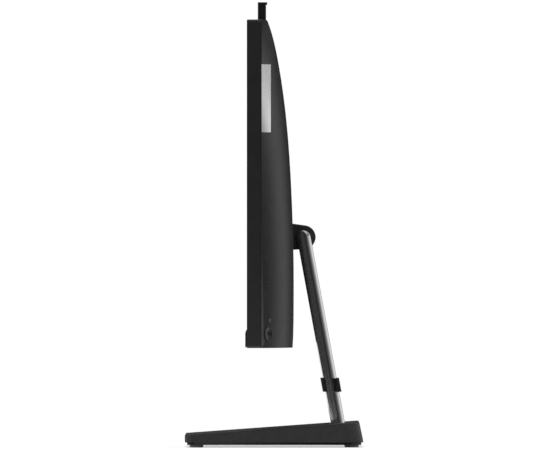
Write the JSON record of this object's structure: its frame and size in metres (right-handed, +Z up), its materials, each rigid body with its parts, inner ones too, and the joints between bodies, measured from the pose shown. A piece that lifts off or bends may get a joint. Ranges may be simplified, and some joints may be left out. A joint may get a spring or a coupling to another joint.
{
  "type": "all in one pc",
  "caption": "Slim all in one desktop computer with a domed rear cover, pull-up camera and tilting display on a leaning arm over a wedge base.",
  "frame": {"origin": "on the table under the middle of the base, which is the middle of the object's footprint", "axes": "+X to the right of the person at the screen, -Y towards that person, +Z up"},
  "size_m": [0.541, 0.1812, 0.4515],
  "materials": {
    "black_plastic": "fine matt moulded grain",
    "frame_plastic": "fine matt moulded grain",
    "base_paint": "matt dark grey powder coat",
    "arm_metal": "satin grey, bright along the rounded rear edge",
    "badge_metal": "brushed bare plate",
    "screen_glass": "anti-glare matt",
    "clear_glass": "polished dark window",
    "rubber": "matt grey",
    "steel": "zinc-plated sheet",
    "acrylic": "clear, printed dots",
    "dark_plastic": "smooth",
    "circuit_board": "solder mask",
    "copper": "bare copper",
    "light_pipe": "translucent"
  },
  "bodies": {
    "stand": {"base_shell": "base_paint", "base_plate": "base_paint", "base_weight": "steel", "arm_bolts": "steel", "base_screws": "steel", "rubber_feet": "rubber", "stand_arm": "arm_metal", "hinge_shaft": "steel", "friction_washers": "steel"},
    "display": {"antennas": "circuit_board", "badge_plate": "badge_metal", "blower_housing": "dark_plastic", "board_screws": "steel", "button_board": "circuit_board", "button_ring": "dark_plastic", "camera_sleeve": "black_plastic", "chassis_plate": "steel", "cold_plate": "copper", "drive_bracket": "steel", "fin_stack": "copper", "front_frame": "frame_plastic", "hard_drive": "steel", "heat_pipe": "copper", "hinge_bracket": "steel", "hinge_hood": "black_plastic", "hinge_screws": "steel", "lcd_panel": "screen_glass", "led_strip": "circuit_board", "light_guide": "acrylic", "mainboard": "circuit_board", "memory_modules": "circuit_board", "panel_tray": "steel", "rear_connectors": "steel", "rear_cover": "black_plastic", "side_board": "circuit_board", "side_connectors": "steel", "solid_state_drive": "circuit_board", "speaker_bar": "frame_plastic", "speaker_left": "dark_plastic", "speaker_right": "dark_plastic", "status_light": "light_pipe", "wireless_card": "circuit_board"},
    "camera": {"camera_housing": "black_plastic", "camera_window": "clear_glass", "camera_lens": "clear_glass"},
    "power_button": {"power_button": "black_plastic"},
    "cable_clip": {"cable_clip": "black_plastic"},
    "blower_rotor": {"blower_rotor": "dark_plastic"}
  },
  "joints": [
    {"name": "display_tilt", "type": "hinge", "parent": "stand", "child": "display", "pos_m": [0, 0.03, 0.2128], "axis": [-1, 0, 0], "range_deg": [-5, 15]},
    {"name": "camera_slide", "type": "slide", "parent": "display", "child": "camera", "axis": [0, 0, 1], "range_m": [-0.0175, 0]},
    {"name": "power_button_press", "type": "slide", "parent": "display", "child": "power_button", "axis": [-0.4877, -0.873, 0], "range_m": [0, 0.0008], "stiffness_N_per_m": 400},
    {"name": "cable_clip_slide", "type": "slide", "parent": "stand", "child": "cable_clip", "axis": [0, -0.1812, 0.9834], "range_m": [-0.02, 0.1]},
    {"name": "blower_spin", "type": "hinge", "parent": "display", "child": "blower_rotor", "pos_m": [0.085, -0.005, 0.186], "axis": [0, 1, 0], "continuous": true}
  ]
}
